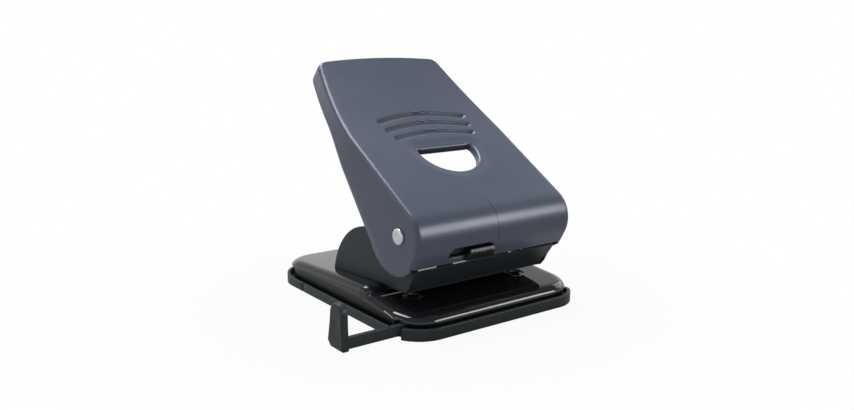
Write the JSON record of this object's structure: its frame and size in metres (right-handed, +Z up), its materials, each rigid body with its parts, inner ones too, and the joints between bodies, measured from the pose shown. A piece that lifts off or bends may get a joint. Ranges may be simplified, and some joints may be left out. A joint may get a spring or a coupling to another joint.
{
  "type": "two-hole punch",
  "caption": "Manual desk punch for two holes: pressed lever with a window and lock slide, riveted frame, spring-returned pins, sliding paper guide and a chip tray with a flap.",
  "frame": {"origin": "centre of the tray's footprint on the desk plane", "axes": "+X to the user's right, -Y to the front where paper enters, +Z up"},
  "size_m": [0.1696, 0.156, 0.1477],
  "materials": {
    "deck": "gloss black enamel on pressed steel",
    "tray": "satin moulded, fine grain",
    "guide": "satin moulded, moulded scale ticks",
    "channel": "moulded",
    "frame": "dark satin paint on folded steel",
    "steel": "bright zinc plated",
    "rivet": "bright nickel plated, satin face",
    "lever": "metallic blue-grey enamel on pressed steel",
    "bracket": "zinc plated",
    "slider": "satin moulded",
    "pin": "ground hardened steel",
    "clip": "phosphated spring steel",
    "spring": "drawn spring wire"
  },
  "bodies": {
    "base": {"base_plate": "deck", "chip_tray": "tray", "guide_channel": "channel", "guide_click_spring": "spring", "punch_frame": "frame", "upper_guide_plate": "steel", "guide_plate_rivets": "steel", "frame_rivets": "steel", "lock_catch": "steel", "pivot_axle": "rivet", "axle_spacer_left": "steel", "axle_spacer_right": "steel", "return_spring_left": "spring", "return_spring_right": "spring"},
    "lever": {"lever_shell": "lever", "lever_bracket": "bracket", "lock_keeper": "steel"},
    "lock": {"lock_slider": "slider"},
    "punch_left": {"punch_pin_left": "pin", "pin_clip_left": "clip", "spring_seat_left": "steel"},
    "punch_right": {"punch_pin_right": "pin", "pin_clip_right": "clip", "spring_seat_right": "steel"},
    "guide": {"paper_guide": "guide"},
    "flap": {"chip_flap": "tray"}
  },
  "joints": [
    {"name": "lever_hinge", "type": "hinge", "parent": "base", "child": "lever", "pos_m": [0, -0.0547, 0.0555], "axis": [-1, 0, 0], "range_deg": [0, 40], "stiffness_Nm_per_rad": 0.5, "springref_deg": -34.38},
    {"name": "punch_left_slide", "type": "slide", "parent": "base", "child": "punch_left", "axis": [0, 0, -1], "range_m": [0, 0.0083], "deforming": ["return_spring_left"]},
    {"name": "punch_right_slide", "type": "slide", "parent": "base", "child": "punch_right", "axis": [0, 0, -1], "range_m": [0, 0.0083], "deforming": ["return_spring_right"]},
    {"name": "lock_slide", "type": "slide", "parent": "lever", "child": "lock", "axis": [-1, 0, 0], "range_m": [0, 0.0135]},
    {"name": "guide_slide", "type": "slide", "parent": "base", "child": "guide", "axis": [-1, 0, 0], "range_m": [-0.0235, 0.05]},
    {"name": "flap_hinge", "type": "hinge", "parent": "base", "child": "flap", "pos_m": [0, 0.0405, 0], "axis": [-1, 0, 0], "range_deg": [0, 60]}
  ],
  "couplings": [
    {"joint": "punch_left_slide", "follows": "lever_hinge", "m_per_rad": 0.011758},
    {"joint": "punch_right_slide", "follows": "lever_hinge", "m_per_rad": 0.011758}
  ]
}
